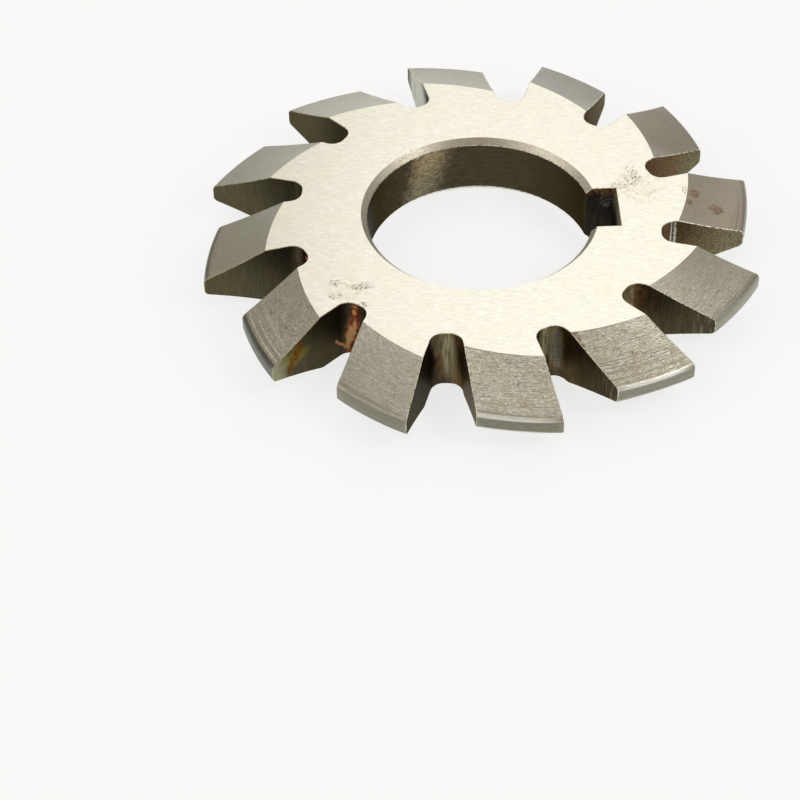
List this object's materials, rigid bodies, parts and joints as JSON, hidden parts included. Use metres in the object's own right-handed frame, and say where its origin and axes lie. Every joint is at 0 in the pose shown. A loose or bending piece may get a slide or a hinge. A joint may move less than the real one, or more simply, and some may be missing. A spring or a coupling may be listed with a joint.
{
  "type": "gear milling cutter",
  "caption": "Disc milling cutter with form-relieved involute teeth, a plain bore and a keyway, for cutting gear tooth spaces.",
  "frame": {"origin": "middle of the bore, half way through the thickness", "axes": "+Z along the bore axis, out of the face that carries the size marks on the real cutter; +X through the middle of the keyway; the cutting faces look anticlockwise seen from +Z"},
  "size_m": [0.066, 0.066, 0.008],
  "materials": {
    "cutter": "ground faces, turned tooth flanks, milled gullets with oil stains and a little rust"
  },
  "bodies": {
    "root": {"cutter": "cutter"}
  },
  "joints": []
}
